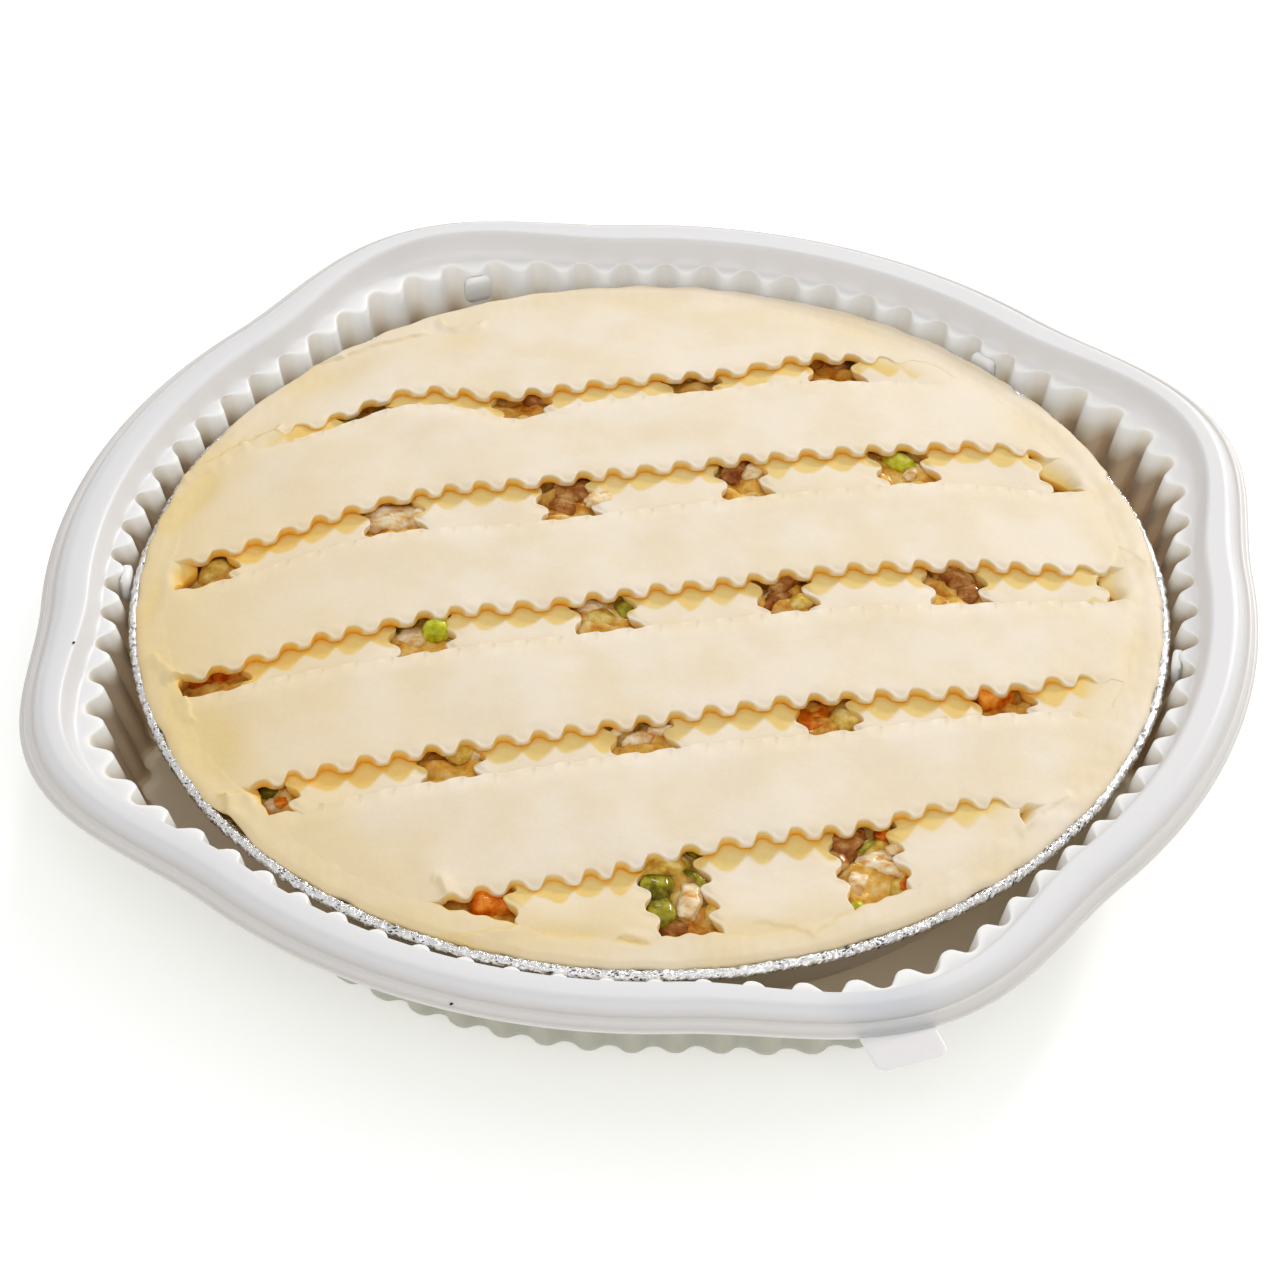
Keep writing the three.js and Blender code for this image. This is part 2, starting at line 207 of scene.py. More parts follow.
def addNode(tree, kind, out=0, stops=(), settings=None, **inputs):
    # one shader node with its settings, the stops of its ramp and its inputs, as its output socket out
    node = tree.nodes.new("ShaderNode" + kind)
    for key, value in (settings or {}).items():
        setattr(node, key, value)
    connect(tree, node, **inputs)
    if stops:
        band = node.color_ramp
        while len(band.elements) < len(stops):
            band.elements.new(0.5)
        for element, (where, colour) in zip(band.elements, stops):
            element.position, element.color = where, colour
    return node.outputs[out]


def newMaterial(name):
    # a material with its tree and shader, the object coordinates, and the shade of the surface
    material = bpy.data.materials.new(name)
    material.use_nodes = True
    tree = material.node_tree
    shade = addNode(tree, "Attribute", "Fac", settings={"attribute_name": "shade"})
    return material, tree, tree.nodes["Principled BSDF"], addNode(tree, "TexCoord", "Object"), shade


def blotches(tree, coords, size, detail, rough, stops):
    # noise with blobs of a size in mm, coloured by stops
    noise = addNode(tree, "TexNoise", Vector=coords, Scale=1 / (size * mm), Detail=detail, Roughness=rough)
    return addNode(tree, "ValToRGB", stops=stops, i0=noise)


def bumps(tree, coords, *layers):
    # the normal of layers of noise, each with blobs of a size in mm, a detail, a roughness, a strength and a
    # depth in mm
    normal = {}
    for size, detail, rough, strength, depth in layers:
        noise = addNode(tree, "TexNoise", Vector=coords, Scale=1 / (size * mm), Detail=detail,
                        Roughness=rough)
        bump = addNode(tree, "Bump", Height=noise, Strength=strength, Distance=depth * mm, **normal)
        normal = {"Normal": bump}
    return normal["Normal"]


mixed = {"data_type": "RGBA"}
softLight = {"data_type": "RGBA", "blend_type": "SOFT_LIGHT"}

pastry = {
    "crust": "f0e3cf",     # flour and fat, pale cream
    "mottle": "ecdcc0",
    "yellowShade": "ead3a2",      # a yellower tone to the left, at the rim and in front, also painted shade in hollows and creases and painted glow atop cut walls
    "paintedShadow": "e9cc80",     # painted shadow, in lobes where an upper strip's edge shades the strip below
    "paintedGlow": "f4b236",       # painted glow of cut walls, standing in for light passed through the dough, deepening to painted shade in the crease
    # the shade of the surface between which each of the last three comes in
    "shades": [("yellowShade", 0.0, 0.35), ("paintedShadow", 0.35, 0.5), ("paintedGlow", 0.5, 1.0)],
    "soak": 0.35,
    "soakEnds": (0.128, 0.136),    # radii in metres between which less and less light soaks in
}


def rawPastry():
    # raw shortcrust, rolled and chilled: matt, faintly mottled, with a fine floury grain and light
    # soaking a few millimetres into it, so that cut edges glow
    p = pastry
    material, tree, shader, coords, shade = newMaterial("rawShortcrust")
    colour = blotches(tree, coords, 24, 3, 0.55, hexStops((0.38, p["mottle"]), (0.58, p["crust"])))
    # the shade of the surface lays a yellower tone, painted shadow, painted glow and painted shade over the
    # mottled cream
    for finish, start, end in p["shades"]:
        share = addNode(tree, "MapRange", i0=shade, i1=start, i2=end)
        colour = addNode(tree, "Mix", 2, settings=mixed, i0=share, i6=colour, i7=srgb(p[finish]))
    flecks = blotches(tree, coords, 1.3, 3, 0.6, greyStops((0.34, 0.2), (0.7, 0.8)))
    colour = addNode(tree, "Mix", 2, settings=softLight, i0=0.1, i6=colour, i7=flecks)
    # the border was pressed onto the strips, so less light soaks in where they meet
    flat = addNode(tree, "Mapping", Vector=coords, Scale=(1, 1, 0))
    radius = addNode(tree, "VectorMath", "Value", settings={"operation": "LENGTH"}, i0=flat)
    soak = addNode(tree, "MapRange", i0=radius, i1=p["soakEnds"][0], i2=p["soakEnds"][1], i3=p["soak"], i4=0.0)
    connect(tree, shader, Base_Color=colour, Roughness=0.55, IOR=1.46, Specular_IOR_Level=0.3,
            Subsurface_Weight=soak, Subsurface_Radius=(1.0, 0.75, 0.5), Subsurface_Scale=1.8 * mm,
            Normal=bumps(tree, coords, (7, 3, 0.5, 0.14, 0.7), (0.9, 4, 0.6, 0.2, 0.2)))
    return material


# painted light and shade of the one white plastic, by the shade of its surface: outside, lip, rim, top of the
# flutes, then down the inside to the floor. The greyer outside, lip and rim are painted shade, the dark band
# down the inner wall painted shadow, and the warm floor painted light off the pie
paintedPlasticShade = [(0, "afae9f"), (0.2, "cfcdcc"), (0.3, "dadadd"), (0.55, "f9f7f3"), (0.6, "efe9e0"),
                (0.74, "a09384"), (0.92, "ac9d8c"), (1, "ecdac8")]


def trayPlastic():
    # thermoformed white polypropylene: satin with a faint orange peel, and so thin that light comes through;
    # its colour carries painted light and shade
    material, tree, shader, coords, shade = newMaterial("formedPolypropylene")
    # the shade of the surface picks the painted light and shade of the plastic
    tone = addNode(tree, "ValToRGB", stops=hexStops(*paintedPlasticShade), i0=shade)
    clouds = blotches(tree, coords, 60, 2, 0.5, greyStops((0.35, 0.46), (0.65, 0.54)))
    colour = addNode(tree, "Mix", 2, settings=softLight, i0=0.3, i6=tone, i7=clouds)
    connect(tree, shader, Base_Color=colour, Roughness=0.42, IOR=1.49, Subsurface_Weight=0.6,
            Subsurface_Radius=(1, 0.85, 0.7), Subsurface_Scale=3 * mm,
            Normal=bumps(tree, coords, (2.2, 2, 0.5, 0.06, 0.3)))
    return material


def panFoil():
    # rolled aluminium foil, pressed and curled: bright metal with sharp little creases, and painted dark
    # streaks standing in for dark reflections and crease shade
    material, tree, shader, coords, shade = newMaterial("pressedFoil")
    # the shade of the surface darkens the metal into the painted streaks
    colour = addNode(tree, "ValToRGB", stops=hexStops((0.3, "efeff0"), (0.75, "54565c")), i0=shade)
    facets = addNode(tree, "TexVoronoi", "Distance", settings={"feature": "DISTANCE_TO_EDGE"}, Vector=coords,
                     Scale=420)    # 2.4 mm across
    normal = addNode(tree, "Bump", Height=facets, Strength=0.5, Distance=0.8 * mm,
                     Normal=bumps(tree, coords, (1.6, 3, 0.6, 0.9, 0.9)))
    connect(tree, shader, Base_Color=colour, Metallic=1, Roughness=0.2, Normal=normal)
    return material


def gravy():
    # chicken gravy thickened with flour: glossy, cloudy golden brown, streaked with paler cream
    material, tree, shader, coords, shade = newMaterial("thickGravy")
    cloud = addNode(tree, "TexNoise", Vector=coords, Scale=1 / (4.5 * mm), Detail=4, Roughness=0.6)
    tone = addNode(tree, "Math", settings={"operation": "ADD"}, i0=cloud, i1=shade)
    colour = addNode(tree, "ValToRGB", i0=tone,
                     stops=hexStops((0.16, "8a3c06"), (0.34, "c87a20"), (0.52, "eab54c"), (0.74, "f6dea0")))
    connect(tree, shader, Base_Color=colour, Roughness=0.08, IOR=1.42, Specular_IOR_Level=0.22,
            Subsurface_Weight=0.2, Subsurface_Radius=(1, 0.6, 0.25), Subsurface_Scale=3 * mm,
            Normal=bumps(tree, coords, (2.4, 3, 0.5, 0.3, 0.9)))
    return material


def morsel(name, dark, middle, light, blob, bumpy, stretch=(1, 1, 1)):
    # a cooked piece coated with gravy: wet and glossy, in three tones of noise with blobs of that many
    # millimetres, drawn out into fibres where stretch says so
    material, tree, shader, coords, _ = newMaterial(name)
    placed = addNode(tree, "Mapping", Vector=coords, Scale=stretch)
    colour = blotches(tree, placed, blob, 3, 0.6, hexStops((0.33, dark), (0.5, middle), (0.66, light)))
    connect(tree, shader, Base_Color=colour, Roughness=0.09, IOR=1.4, Specular_IOR_Level=0.22,
            Subsurface_Weight=0.06, Subsurface_Radius=(1, 0.7, 0.4), Subsurface_Scale=2.5 * mm,
            Normal=bumps(tree, placed, (1.1, 3, 0.6, bumpy, 0.6)))
    return material


doughMaterial = rawPastry()
trayMaterial = trayPlastic()
foilMaterial = panFoil()
gravyMaterial = gravy()
print("materials made")

tray = {
    "flutes": 76,
    "firstFlute": 3.2,     # degrees
    "columnsPerFlute": 12,
    "flatTop": 0.35,       # how much the ridges of the flutes are flattened
    "wall": 0.8,
    "bulges": 4,
    "firstBulge": 24.9,    # degrees
    "halfAngle": 22.5,
    # radius, swell at a bulge, height, half depth of the flutes, fillet
    "inside": [
        (0, 0, 0.8, 0, 0),
        (60, 0, 0.8, 0, 0),
        (146.0, 9.2, 0.8, 1.3, 4.0),
        (157.6, 10.6, 39, 2.45, 0.7),
        (160.0, 14.2, 39, 0, 1.4),
        (163.1, 15.1, 46.3, 0, 1.3),
        (170.6, 12.8, 46.3, 0, 1.8),
        (172.9, 12.8, 43.7, 0, 0.3),
        (173.5, 12.8, 43.0, 0, 0.2),
        (174.5, 12.8, 43.4, 0, 0.4),
        (175.4, 12.8, 42.9, 0, 0.4),
        (176.0, 12.9, 41.2, 0, 0.3),
        (177.4, 12.9, 40.9, 0, 0.3),
    ],
    "rowsPerSegment": [1, 3, 10, 3, 4, 3, 2, 1, 1, 1, 1, 1],
    "filletRows": 4,
    "ledge": 157.6,        # radius at which the flutes end
    "lugs": [48.2, 109.8, 176.1, 351.4],    # degrees, on the inward ridges of the flutes
    "lugSize": (3.6, 8.6, 8.8),             # outwards, across and up
    "lugPlace": (154.6, 9.6, 33.6),         # radius, swell at a bulge, height
    "lugFace": 0.8,                         # past this much outwards a lug has the painted shade of the outside
    "tab": {"angle": 290.7, "width": 20.5, "reach": 200, "root": 175, "corner": 3.2, "thick": 0.9,
            "height": 40.9, "drop": 0.45, "flare": 4.5, "flareLength": 11},
}
paintedTrayShade = {
    "floor": 1.0,
    "flutes": 0.55,
    "tab": 0.27,
    # each of these adds its first number past a height or radius, over a width in mm
    "up": (-0.45, 6, 30),         # up the wall, from painted light off the pie on the floor through painted shadow
    # the rim, the lip and the outside get darker tones, painted shade
    "rim": (-0.25, 157.6, 2),
    "lip": (-0.1, 171, 3),
    "outside": (0.15, 174, 4),
    "deep": (0.15, -39, 9),       # painted shadow down the wall at the two sides
    "hollow": (0.03, 0.05),       # painted shade in the hollows of the flutes all round, and more at the two sides
    "most": 0.9,                  # on the wall
}


def bulgeAt(angle, halfAngle):
    # 1 in the middle of each of the four bulges, falling to 0 at halfAngle from it; angle in degrees
    step = 360 / tray["bulges"]
    off = (angle - tray["firstBulge"] + step / 2) % step - step / 2
    return hump(off / halfAngle)


def roundedRows(stations, rows):
    # a broken line of stations, each corner swapped for a quadratic curve of its own fillet length
    stations = np.array(stations, float)
    place, fillet = stations[:, :-1], stations[:, -1]
    out = [place[:1]]
    leave = place[0]
    for i in range(1, len(place)):
        span = place[i] - place[i - 1]
        reach = np.hypot(span[0], span[2])
        arrive = place[i] - span * (fillet[i] / reach)
        steps = np.linspace(0, 1, rows[i - 1] + 1)[1:, None]
        out.append(leave + (arrive - leave) * steps)
        leave = place[i]
        if fillet[i] > 0 and i + 1 < len(place):
            ahead = place[i + 1] - place[i]
            leave = place[i] + ahead * (fillet[i] / np.hypot(ahead[0], ahead[2]))
            t = np.linspace(0, 1, tray["filletRows"] + 1)[1:, None]
            out.append(arrive * (1 - t) ** 2 + place[i] * 2 * t * (1 - t) + leave * t ** 2)
    return np.vstack(out)


def past(tone, value):
    # a tone's amount times an S-curve of how far value is past its start, over its width
    return tone[0] * smooth((value - tone[1]) / tone[2])


def traySurface():
    # radius = row radius + swell times bulge + flute depth times a flat-topped cosine of the angle;
    # the rows run from the middle of the floor up and out to the lip, then back under at the wall's
    # thickness to the middle of the underside
    t, tones = tray, paintedTrayShade
    inner = roundedRows(t["inside"], t["rowsPerSegment"])
    step = np.gradient(inner, axis=0)
    normal = np.stack([step[:, 2], -step[:, 0]], -1)
    normal /= np.linalg.norm(normal, axis=1, keepdims=True)
    outer = inner.copy()
    outer[:, [0, 2]] += normal * t["wall"]
    outer[0, 0] = 0
    outer[:, 2] = np.maximum(outer[:, 2], 0)
    outer = outer[np.unique(np.concatenate([np.arange(0, len(outer), 2), [len(outer) - 1]]))]
    rows = np.vstack([inner, outer[::-1]])
    count = t["flutes"] * t["columnsPerFlute"]
    angle = np.arange(count)[:, None] * 360 / count
    wave = np.cos(np.radians((angle - t["firstFlute"]) * t["flutes"]))
    wave = wave * (1 + t["flatTop"] - t["flatTop"] * wave * wave)
    radius = rows[:, 0] + rows[:, 1] * bulgeAt(angle, t["halfAngle"]) + rows[:, 3] * wave
    radius = np.where(rows[:, 0] == 0, 0, radius)
    a = np.radians(angle)
    height = np.broadcast_to(rows[:, 2], radius.shape)
    # tone, painted light and shade: from 1 on the floor up the wall to the flutes, then down over the rim to
    # the lip and the outside
    wallTone = tones["floor"] + past(tones["up"], inner[:, 2])
    rimTone = tones["flutes"] + past(tones["rim"], inner[:, 0]) + past(tones["lip"], inner[:, 0])
    innerTone = np.where(inner[:, 0] < t["ledge"], wallTone, rimTone)
    tone = np.concatenate([innerTone, past(tones["outside"], outer[::-1, 0])])
    # painted shade: the hollows of the flutes are dimmer than their ridges, and so is the deep of the wall at
    # the two sides
    wall = (rows[:, 0] < t["ledge"] + 0.4) & (rows[:, 2] > 2) & (np.arange(len(rows)) < len(inner))
    sides = np.cos(a) ** 4
    hollow = (tones["hollow"][0] + tones["hollow"][1] * sides) * smooth((wave + 0.4) / 1.2)
    deep = sides * past(tones["deep"], -rows[:, 2])
    tone = np.where(wall, np.minimum(tone + hollow + deep, tones["most"]), tone)
    return ringPoints(radius, a, height), tone


def roundedPad(size, flat, steps=12):
    # a ball whose sines and cosines are raised to the power flat, so that under 1 its sides go flat
    u = np.linspace(-np.pi / 2, np.pi / 2, steps)
    v = circle(2 * steps)

    def squared(value):
        return np.sign(value) * np.abs(value) ** flat
    ring = squared(np.maximum(np.cos(u), 0))
    ring[[0, -1]] = 0      # the poles are single points
    x = ring * squared(np.cos(v)) * size[0] / 2
    y = ring * squared(np.sin(v)) * size[1] / 2
    z = squared(np.sin(u)) * np.ones_like(v) * size[2] / 2
    return np.stack([x, y, z], -1)


def lugSurfaces():
    # one rounded pad on each of the four ridges, pressed out of the wall to hold stacked trays apart
    t = tray
    out = []
    for angle in t["lugs"]:
        pad = roundedPad(t["lugSize"], 0.5)
        radius = t["lugPlace"][0] + t["lugPlace"][1] * bulgeAt(angle, t["halfAngle"])
        x, y = turnBy(angle, pad[..., 0] + radius, pad[..., 1])
        tone = np.where(pad[..., 0] > t["lugFace"], 0, paintedTrayShade["flutes"])
        out.append(surface(np.stack([x, y, pad[..., 2] + t["lugPlace"][2]], -1), tone, wrapU=True))
    return out


def tabSurface():
    # a slab of rounded cross-section carried outwards; its half width flares into the lip at the
    # root and turns in as a quarter circle at each outer corner
    t = tray["tab"]
    bend = t["reach"] - t["corner"]
    corner = t["corner"] * (1 - np.sin(np.linspace(0, np.pi / 2, 10)[1:]))
    along = np.concatenate([np.linspace(t["root"], bend, 26), t["reach"] - corner])
    into = np.clip((along - bend) / t["corner"], 0, 1)
    flare = t["flare"] * (1 - smooth((along - t["root"]) / t["flareLength"]))
    half = t["width"] / 2 + flare - t["corner"] * (1 - np.sqrt(1 - into ** 2))
    v = circle(40)[:, 0]
    cv, sv = np.cos(v), np.sin(v)
    across = half[:, None] * (np.sign(cv) * np.abs(cv) ** 0.25)
    thick = t["thick"] / 2 * (np.sign(sv) * np.abs(sv) ** 0.6) * np.ones_like(across)
    x, y = turnBy(t["angle"], along[:, None], across)
    return np.stack([x, y, t["height"] - t["drop"] + thick], -1), 0 * across + paintedTrayShade["tab"]


for name, surfaces in [("trayShell", [surface(*traySurface(), wrapU=True)]), ("trayLugs", lugSurfaces()),
                       ("trayTab", [surface(*tabSurface(), wrapV=True, capU=True)])]:
    addPiece(name, surfaces, trayMaterial, ["tray"])

specks = {
    # a speck of dirt on the rim and one on the skirt: x, y, z, length, width, thickness, turn
    "places": [(-164.9, -30.5, 46.32, 1.0, 0.6, 0.3, 60), (-51.6, -168.0, 41.95, 1.3, 0.5, 0.5, 35)],
    "finish": ("driedSpeck", "17110d", "33261d", "5a4838", 0.5, 0.3),
}


def speckSurface(place):
    # a rounded pad of a millimetre, turned and set on the plastic
    x, y, z, length, width, thick, angle = place
    p = roundedPad((length, width, thick), 0.3, 8)
    x, y = turnBy(angle, p[..., 0], p[..., 1], x, y)
    return surface(np.stack([x, y, z + p[..., 2]], -1), wrapU=True)


addPiece("specks", [speckSurface(place) for place in specks["places"]], morsel(*specks["finish"]), ["tray"])
print("tray made")

pan = {
    "columns": 2400,
    "curlRows": 20,
    "curl": (215, -100),   # degrees round the bead, from inside over the top
    "rim": 152.0,
    "beadRadius": 1.6,
    "beadHeight": 34.75,
    "floorRadius": 127.6,
    "floorHeight": 1.15,
    "wallTop": 145.8,
    "foil": 0.25,
    "crimp": 0.24,
    "sway": 0.25,          # of the rim, outwards and up
    "lift": 0.18,
}


def panSurface():
    # the rows run from the middle of the floor up the inside, round the curled rim and down the outside;
    # the rim's radius from its own centre varies by ripples along the circle, as crimped foil does
    p = pan
    a = circle(p["columns"])
    bead, top = p["beadRadius"], p["beadHeight"]
    middle = p["rim"] - bead
    curl = np.radians(np.linspace(*p["curl"], p["curlRows"]))
    arc = a * middle
    crease = (ripple(arc, curl * bead, 3.4, 11) * 0.5 + ripple(arc, curl * bead, 1.3, 12) * 0.4
              + np.abs(ripple(arc, curl * 1.2, 2.2, 13)) * 0.5)
    out = bead + p["crimp"] * (crease - 0.4)
    r = middle + p["sway"] * ripple(arc, 0 * arc, 38, 14) + out * np.cos(curl)
    z = top + p["lift"] * ripple(arc, 0 * arc, 27, 15) + out * np.sin(curl)
    inside = [(0, p["floorHeight"] + p["foil"]), (p["floorRadius"] - 0.3, p["floorHeight"] + p["foil"]),
              (p["wallTop"], top - 0.7), (middle - bead - 0.4, top - 0.7)]
    outside = [(p["wallTop"] + 0.35, top - 1.2), (p["floorRadius"], p["floorHeight"]), (0, p["floorHeight"])]
    ones = np.ones_like(a)
    rr, zz = (np.hstack([ones * s[i] for s in inside] + [rim] + [ones * s[i] for s in outside])
              for i, rim in enumerate([r, z]))
    # painted dark streaks standing in for dark reflections and crease shade: two fine ripples along the rim,
    # kept where they are high
    paintedStreak = smooth((ripple(arc, 3 * curl, 1.5, 16, 14) + 0.6 * ripple(arc, curl, 5, 17) - 0.8) / 0.7)
    dark = np.hstack([0 * ones] * len(inside) + [paintedStreak] + [0 * ones] * len(outside))
    return ringPoints(rr, a, zz), dark


addPiece("foilPan", [surface(*panSurface(), wrapU=True)], foilMaterial, ["foil_pan"])
print("pan made")

crust = {
    "edgeRadius": 149.3,
    "edgeHeight": 37.0,
    "rise": 11.0,
    "power": 2.6,
    "domeRadius": 150.0,
    "sheet": 2.95,         # thickness of the rolled dough
    "farThin": 0.6,        # how much thinner it is at a strip's far edge
    "pitch": 9.7,          # from tooth to tooth of the cutting wheel
    "tooth": 1.95,         # half height of a tooth
    "farTooth": 0.35,      # share of it at the far edges of the upper strips
    "sideTooth": 0.8,      # and of the lower ones
    "toothFlat": 0.3,      # how much the teeth are flattened
    "steep": 0.3,          # share of the pitch taken by the steep flank
    "teethEnd": (132, 9),  # the radius where the teeth begin to fade, and over how much
    "lip": 0.5,            # rounding of the cut edges
    # how far a lip is pressed down, how much more at a tooth, and how far the wall under a tooth is tucked in
    "nearPress": (0.15, 0.6, 1.2),
    "farPress": (0.95, 0.5, 0.6),
    "sidePress": (0.3, 0.5, 0.6),      # far edges of the lower strips
    "nearBend": (3.0, 1.5),            # width and power of the bend down to an edge
    "farBend": (7.5, 1.3),
    "wallSteps": [0.3, 0.65, 0.93, 1.0],     # rows down the cut wall, as shares of the sheet,
    "tuckSteps": [0.35, 0.75, 0.95, 0.7],    # and how much of the tuck each has
    "wallTopGlow": (0.46, 0.1, 0.5),      # painted glow and shade of the cut wall: amount, start below the lip, width
    "wallCreaseShade": (0.54, 0.9, 1.4),
    "columns": 34,         # across an upper strip
    "sideColumns": 84,     # and across a lower one, which shows the painted shadow lobes
    "alongStep": 0.5,
    "limit": 144.0,        # strips end here, under the border
    "drop": 2.75,          # from the upper strips down to the lower ones
    "shadowShift": 0.12,     # how far right of the notches the painted shadow lobes on the dough below lie, in pitches
    "shadowReach": 3.4,      # how far in front of an upper strip they begin
    "shadowLobe": 4.2,       # and how far they stand out
    "creaseShade": 0.42,      # painted crease shade added right at the upper strip
    "shadowEnd": (128, 9),
}
border = {
    "columns": 1700,
    "rows": 22,
    "inner": 139.5,
    "roundOuter": 2.4,     # rounding of the two edges
    "roundInner": 3.6,
    # tongues that slope down into the ends of the gaps: degrees, half width in degrees, mm
    "tongues": [(27.5, 3.5, 10), (5.2, 3.2, 9), (321, 3, 5), (174.5, 2.5, 6), (192.5, 2, 5), (215, 3, 4)],
    # nicks of the outer edge that bare the foil: degrees, half width in degrees, mm
    "nicks": [(219.6, 1.9, 2.0), (41.1, 0.9, 1.5), (22.6, 0.8, 1.5), (236, 1.2, 0.9), (203, 1.5, 0.8)],
    "sunk": 3.0,           # how deep a tongue goes
    # the underside, from the outer edge down the rim of the pan and in to the inner edge
    "underRadii": (146.2, 143.8),
    "underHeights": (34.95, 34.95, 33.4, 33.2),
}

# ovals pressed into or raised from the dough: x, y, half length, half width, turn, height, shade, which is
# painted shade in each hollow and a little darker or paler on a raised one
marks = [
    (-137.5, 42, 14, 5, 68, -0.5, 0.30), (-100, 101, 16, 9, 38, -0.5, 0.14),
    (-58, 119, 12, 6, 20, -0.35, 0.10), (-124, -62, 22, 9, -62, -0.4, 0.10),
    (-136, -50, 14, 5, -70, 0.3, 0.12), (142, 20, 6, 2.2, 60, 0.55, -0.05),
    (146, 15, 5, 1.6, 75, 0.5, 0.05), (137, 11, 6, 2.4, 20, 0.45, -0.05), (141, 3, 7, 2.4, 75, 0.5, 0.05),
    (110, -92, 8, 3, 40, 0.5, -0.05), (118, -84, 6, 2.5, 45, 0.45, 0.0),
    (-49, -142, 11, 2.6, -14, -0.6, 0.26), (-3, -141, 5, 1.6, 0, -0.3, 0.22),
    (30, -136, 16, 4, 12, -0.3, 0.12), (-20, -138, 12, 3, 2, -0.3, 0.14),
    (12, -137, 9, 2.6, 4, 0.35, -0.08), (62, -131, 13, 3, 26, 0.35, -0.06),
    (96, -110, 12, 4, 40, -0.35, 0.10), (140, -20, 14, 3.5, 80, -0.3, 0.10),
    (133, 48, 10, 4, 60, -0.3, 0.10), (-10, 140, 16, 4, 4, -0.3, 0.08), (60, 130, 18, 4, -24, -0.3, 0.06),
    (-146, -5, 14, 3.4, 88, -0.3, 0.12), (-58, -118, 10, 5, -50, 0.4, 0.0),
    (-32, -66, 5, 2.4, 15, -0.35, 0.02), (-45, -72, 8, 2.2, 12, 0.2, -0.04),
]
# lips where a patch or a strip's end was pressed on: from x, y to x, y, height on its left, width, shade, which
# is painted shade along the crease at its line
folds = [
    (-110.5, 105, -96, 112.5, 0.7, 5, 0.10), (-96, 112.5, -71, 123.5, 0.6, 5, 0.10),
    (-61.5, 126.4, -66, 131, 0.7, 4, 0.18), (-53, 129, -62, 126, 0.9, 4, 0.20),
    (-113, 76, -124, 69, 0.9, 6, 0.34), (-124, 69, -142, 54.5, 1.1, 6, 0.34),
    (-134.5, -36, -142, -26, 0.9, 5, 0.30), (-137.7, -38.5, -134.5, -36, 0.7, 5, 0.22),
    (-129, -54, -131.5, -43, 0.6, 5, 0.06), (-108, -83, -119, -84.6, 0.8, 5, 0.24),
    (-119, -84.6, -117.5, -93, 0.9, 5, 0.28), (-58.5, -119, -53.5, -128.5, 0.8, 5, 0.14),
    (-36, -136.4, -57, -139, 0.7, 4, 0.20), (-8, -139.5, 0, -141, 0.5, 4, 0.20),
    (30, -133, 45, -137, 0.2, 5, 0.10), (45, -137, 58, -127, 0.2, 5, 0.08),
    (136, 12, 139, 24, 0.25, 4, 0.06), (139, 24, 146, 18, 0.25, 4, 0.0), (104, -98, 118, -82, 0.6, 5, 0.06),
]


def crown(x, y):
    # height of the crust: edge height plus rise times one less the radius share to a power
    share = np.minimum(np.hypot(x, y) / crust["domeRadius"], 1)
    return crust["edgeHeight"] + crust["rise"] * (1 - share ** crust["power"])


def relief(x, y):
    # height that hands and rolling left in the dough, and shade: two ripples, a hump for each mark, and for
    # each fold a step at its line that fades over its width on the left and at its ends. The shade of the marks
    # is mostly painted shade in their hollows, that of the folds painted shade along their creases, and the
    # dough is yellower on the left, towards the rim and in front
    height = 0.2 * ripple(x, y, 46, 3) + 0.07 * ripple(x, y, 15, 4)
    shade = 0.26 * smooth((-x - 50 - 0.25 * y) / 105) + 0.035 * ripple(x, y, 30, 5)
    shade = shade + 0.07 * smooth((np.hypot(x, y) - 126 + 3 * ripple(x, y, 25, 6)) / 12)
    shade = shade + 0.13 * smooth((-y - 118) / 16)
    for mx, my, length, width, angle, push, tint in marks:
        u, v = turnBy(-angle, x - mx, y - my)
        v = v + 0.25 * width * np.sin(u / length * 3)
        oval = hump(np.hypot(u / length, v / width) / 1.6)
        height, shade = height + push * oval, shade + tint * oval
    for x0, y0, x1, y1, lift, width, tint in folds:
        span = math.hypot(x1 - x0, y1 - y0)
        c, s = (x1 - x0) / span, (y1 - y0) / span
        u, v = (x - x0) * c + (y - y0) * s, (y - y0) * c - (x - x0) * s
        v = v + 0.35 * ripple(u, 0 * u, 5, 8) - 0.8 * (1 - (2 * u / span - 1) ** 2)
        ends = smooth((u + 2) / 3) * smooth((span + 2 - u) / 3)
        step = smooth((v + 0.45) / 0.6) * (1 - smooth(v / width))
        height = height + lift * ends * step
        shade = shade + tint * ends * hump((v + 0.5) / 1.3)
    return height, np.minimum(shade, 0.4)


def swayed(edge, along):
    # a straight edge pushed aside by half-cosine sways
    at, slope, sways = edge[:3]
    value = at + slope * along
    for where, push, halfWidth in sways:
        value = value + push * hump((along - where) / (2 * halfWidth))
    return value


def toothShare(along, edge, seed):
    # how far along its pitch a point is, from 0 in a notch; the pitch wanders a little
    notch, pitch = edge[3:] or (3.1 * seed, crust["pitch"])
    return ((along - notch) / pitch + 0.06 * ripple(along, 0 * along, 30, seed + 50)) % 1


def toothWave(along, edge, seed):
    # -1 in a notch and +1 on a tooth: from each notch a slow half cosine down to the tooth, then a steep one
    # back, and the height of the teeth wanders a little
    c = crust
    steep, share = c["steep"], toothShare(along, edge, seed)
    wave = np.where(share < 1 - steep, -np.cos(np.pi * share / (1 - steep)),
                    np.cos(np.pi * (share - 1 + steep) / steep))
    wave = wave * (1 + c["toothFlat"] - c["toothFlat"] * wave * wave)
    return wave * (0.95 + 0.1 * ripple(along, 0 * along, 14, seed + 52))


